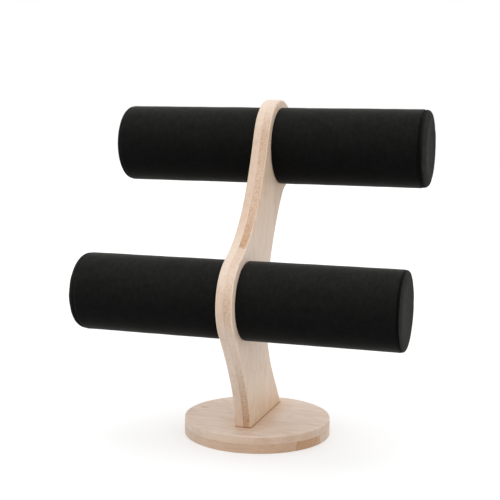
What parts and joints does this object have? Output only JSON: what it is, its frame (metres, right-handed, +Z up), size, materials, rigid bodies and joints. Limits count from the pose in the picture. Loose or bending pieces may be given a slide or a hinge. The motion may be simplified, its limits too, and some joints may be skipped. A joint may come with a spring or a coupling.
{
  "type": "bracelet display stand",
  "caption": "Tiered bracelet display stand: dark velvet rolls on either side of an S-shaped light wood upright on a round wooden base.",
  "frame": {"origin": "centre of the round base's underside, on the surface that the stand rests on", "axes": "+Z up, X along the rolls, -Y towards the front, where the lower rolls stand forward"},
  "size_m": [0.2616, 0.1653, 0.2735],
  "materials": {
    "laminated_wood": "light two-ply laminated wood, sanded, clear matt varnish",
    "velvet": "short-pile black velvet",
    "card": "spirally wound card, raw",
    "fibreboard": "raw fibreboard",
    "zinc_plated_steel": "bright zinc plating",
    "zinc_alloy": "cast zinc alloy"
  },
  "bodies": {
    "root": {"base_disc": "laminated_wood", "upright": "laminated_wood", "foot_screw_front": "zinc_plated_steel", "foot_screw_back": "zinc_plated_steel", "lower_stud": "zinc_plated_steel", "lower_left_tube": "card", "lower_left_cover": "velvet", "lower_left_inner_disc": "fibreboard", "lower_left_insert": "zinc_alloy", "lower_left_outer_disc": "fibreboard", "lower_left_end_cap": "velvet", "lower_right_tube": "card", "lower_right_cover": "velvet", "lower_right_inner_disc": "fibreboard", "lower_right_insert": "zinc_alloy", "lower_right_outer_disc": "fibreboard", "lower_right_end_cap": "velvet", "upper_stud": "zinc_plated_steel", "upper_left_tube": "card", "upper_left_cover": "velvet", "upper_left_inner_disc": "fibreboard", "upper_left_insert": "zinc_alloy", "upper_left_outer_disc": "fibreboard", "upper_left_end_cap": "velvet", "upper_right_tube": "card", "upper_right_cover": "velvet", "upper_right_inner_disc": "fibreboard", "upper_right_insert": "zinc_alloy", "upper_right_outer_disc": "fibreboard", "upper_right_end_cap": "velvet"}
  },
  "joints": []
}
